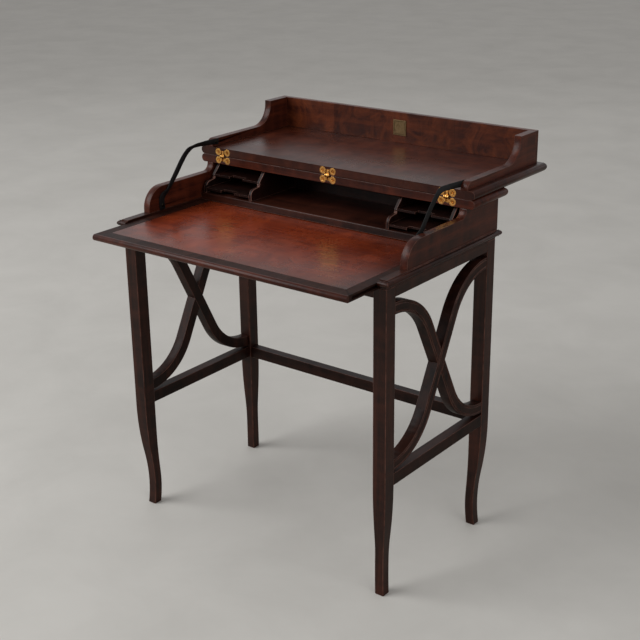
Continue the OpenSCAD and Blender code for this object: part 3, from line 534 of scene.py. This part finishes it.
# The inner face of the case side, and the gap between it and the strap
STRAP_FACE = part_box("strap_right")[1].x * 1000
STRAP_CLEAR = 0.05
STRAP_THICK = 1.9
# Rings from one guide point to the next
STRAP_STEPS = 8
# Foot and lid end of the strap's run, and its guide points from them, as (y, z)
STRAP_FOOT = Vector((-101.0, 759.5))
STRAP_END = Vector((97.0, 876.3))
STRAP_GUIDE = ([STRAP_FOOT + Vector(d) for d in ((0, -32), (0, -11), (0, 17.5), (19, 33.5),
                                                 (39, 52.5), (57, 73.5), (74, 93.5))]
               + [STRAP_END + Vector(d) for d in ((-103, -4.5), (-83, 3.5), (-59, 4),
                                                  (-30, 2.5), (9, -0.5), (40, -3))])
# Width in mm and twist in degrees at each guide point that the strap passes
STRAP_WIDTHS = (18, 17.5, 13.5, 14, 14.5, 14.5, 14, 12, 12, 13, 15)
STRAP_TWISTS = (0, 2, 22, 0, -3, -3, 4, 32, 22, 8, 0)
# Section in half widths and half thicknesses, crowned on the face towards the desk's middle
STRAP_SECTION = ((-1, -0.55), (-0.93, -1), (0, -1), (0.93, -1), (1, -0.55),
                 (1, 0.55), (0.93, 1), (0, 1.12), (-0.93, 1), (-1, 0.55))


def curve_point(guide, i, t):
    """The point at t on the smooth curve between guide points i and i + 1."""
    a, b, c, d = guide[i - 1:i + 3]
    return (b + (c - a) * t / 2 + (2 * a - 5 * b + 4 * c - d) * t * t / 2
            + (3 * b - a - 3 * c + d) * t * t * t / 2)


def strap_places():
    """Centre, width and twist at each ring of a strap."""
    places = []
    for i in range(1, len(STRAP_GUIDE) - 2):
        width, wider = STRAP_WIDTHS[i - 1:i + 1]
        twist, further = STRAP_TWISTS[i - 1:i + 1]
        for j in range(STRAP_STEPS):
            t = j / STRAP_STEPS
            ease = t * t * (3 - 2 * t)
            places.append((curve_point(STRAP_GUIDE, i, t), width + (wider - width) * ease,
                           twist + (further - twist) * ease))
    places.append((STRAP_GUIDE[-2], STRAP_WIDTHS[-1], STRAP_TWISTS[-1]))
    return places


def strap_rings(sign):
    """A flat band with rounded edges, twisted where it bends."""
    places = strap_places()
    inward = Vector((-1, 0, 0))
    half_thick = STRAP_THICK / 2
    rings = []
    for n, (centre, width, twist) in enumerate(places):
        run = (places[min(n + 1, len(places) - 1)][0] - places[max(n - 1, 0)][0]).normalized()
        beside = Vector((0, -run[1], run[0]))
        lean = math.radians(twist)
        across = beside * math.cos(lean) + inward * math.sin(lean)
        through = inward * math.cos(lean) - beside * math.sin(lean)
        reach = width / 2 * math.sin(abs(lean)) + half_thick * math.cos(lean) + STRAP_CLEAR
        middle = Vector((STRAP_FACE - reach, centre[0], centre[1]))
        points = [middle + across * (u * width / 2) + through * (v * half_thick)
                  for u, v in STRAP_SECTION]
        rings.append([placed(sign * point.x, point.y, point.z) for point in points])
    return rings


for side, sign in SIDES.items():
    strap = ringed_piece("stay_strap_" + side, strap_rings(sign))
    strap.data.materials.append(leather)
    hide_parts("strap_" + side)
    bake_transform(strap)


# Studio, in metres

FLOOR_HALF = 30
FLOOR_BOUNCED = (rgb(176, 173, 165), rgb(166, 163, 155))
FLOOR_SEEN = (rgb(208, 206, 201), rgb(199, 197, 192))
FLOOR_ROUGH = 0.6
WORLD_FILL = (1.0, 0.98, 0.96, 1)
WORLD_FILL_STRENGTH = 0.38
WORLD_BACKDROP = (0.43, 0.425, 0.43, 1)
LIGHT_AIM = Vector((0, 0, 0.6))
# Name, place, size and power in watts
LIGHTS = (("key", (-3.0, -3.4, 3.8), (4.0, 4.0), 200),
          ("fill", (3.6, -1.0, 2.6), (2.6, 2.6), 24),
          ("back", (-2.6, 4.0, 2.8), (6.0, 3.0), 12))


def stage_floor():
    """A pale floor. It bounces a little less light than the camera sees on it."""
    mesh = bpy.data.meshes.new("floor")
    low, high = -FLOOR_HALF, FLOOR_HALF
    mesh.from_pydata([(low, low, 0), (high, low, 0), (high, high, 0), (low, high, 0)], [],
                     [(0, 1, 2, 3)])
    floor = bpy.data.objects.new("floor", mesh)
    bpy.context.scene.collection.objects.link(floor)
    material, tree, shader = start_material("studio_floor")
    clouds = noise(tree, object_place(tree), scale=3.0, detail=5, rough=0.6, warp=0.3)
    blotches = spread(tree, clouds, (0.35, 0.7))
    from_camera = add(tree, "LightPath").outputs["Is Camera Ray"]
    feed(tree, shader, {
        "Base Color": mix(tree, from_camera, mix(tree, blotches, *FLOOR_BOUNCED),
                          mix(tree, blotches, *FLOOR_SEEN)),
        "Roughness": FLOOR_ROUGH})
    mesh.materials.append(material)


def stage_world():
    """A soft white fill, with a grey backdrop for what the camera and the gloss see."""
    world = bpy.data.worlds.new("studio")
    bpy.context.scene.world = world
    world.use_nodes = True
    tree = world.node_tree
    tree.nodes.clear()
    rays = add(tree, "LightPath").outputs
    seen = calculate(tree, "MAXIMUM", rays["Is Camera Ray"], rays["Is Glossy Ray"])
    seen = calculate(tree, "MAXIMUM", seen, rays["Is Transmission Ray"])
    fill = add(tree, "Background", {"Color": WORLD_FILL, "Strength": WORLD_FILL_STRENGTH})
    backdrop = add(tree, "Background", {"Color": WORLD_BACKDROP, "Strength": 1.0})
    both = add(tree, "MixShader", {0: seen, 1: fill.outputs[0], 2: backdrop.outputs[0]})
    add(tree, "OutputWorld", {"Surface": both.outputs[0]})


def stage_light(name, place, size, power):
    """A soft box light turned towards the desk."""
    data = bpy.data.lights.new(name, "AREA")
    data.shape = "RECTANGLE"
    data.size, data.size_y = size
    data.energy = power
    lamp = bpy.data.objects.new(name, data)
    bpy.context.scene.collection.objects.link(lamp)
    lamp.location = place
    lamp.rotation_mode = "QUATERNION"
    lamp.rotation_quaternion = (Vector(place) - LIGHT_AIM).to_track_quat("Z", "Y")


# Camera of the photograph, in metres, radians and pixels of the picture

CAMERA_PLACE = Vector((1.71565, -2.20208, 1.56700))
CAMERA_YAW = 0.660
CAMERA_PITCH = -0.365
CAMERA_ROLL = -0.013
FOCAL_PIXELS = 1252.6
IMAGE_PIXELS = 640
SENSOR_MM = 36


def stage_camera():
    """The camera, turned by its yaw, pitch and roll."""
    yaw, pitch, roll = CAMERA_YAW, CAMERA_PITCH, CAMERA_ROLL
    ahead = Vector((-math.sin(yaw) * math.cos(pitch), math.cos(yaw) * math.cos(pitch),
                    math.sin(pitch)))
    level = Vector((math.cos(yaw), math.sin(yaw), 0))
    upward = level.cross(ahead)
    right = level * math.cos(roll) + upward * math.sin(roll)
    up = upward * math.cos(roll) - level * math.sin(roll)
    data = bpy.data.cameras.new("camera")
    data.sensor_width = SENSOR_MM
    data.lens = FOCAL_PIXELS * SENSOR_MM / IMAGE_PIXELS
    camera = bpy.data.objects.new("camera", data)
    bpy.context.scene.collection.objects.link(camera)
    turn = Matrix((right, up, -ahead)).transposed().to_4x4()
    camera.matrix_world = Matrix.Translation(CAMERA_PLACE) @ turn
    bpy.context.scene.camera = camera


stage_floor()
stage_world()
for light in LIGHTS:
    stage_light(*light)
stage_camera()
bpy.context.scene.view_settings.view_transform = "Standard"
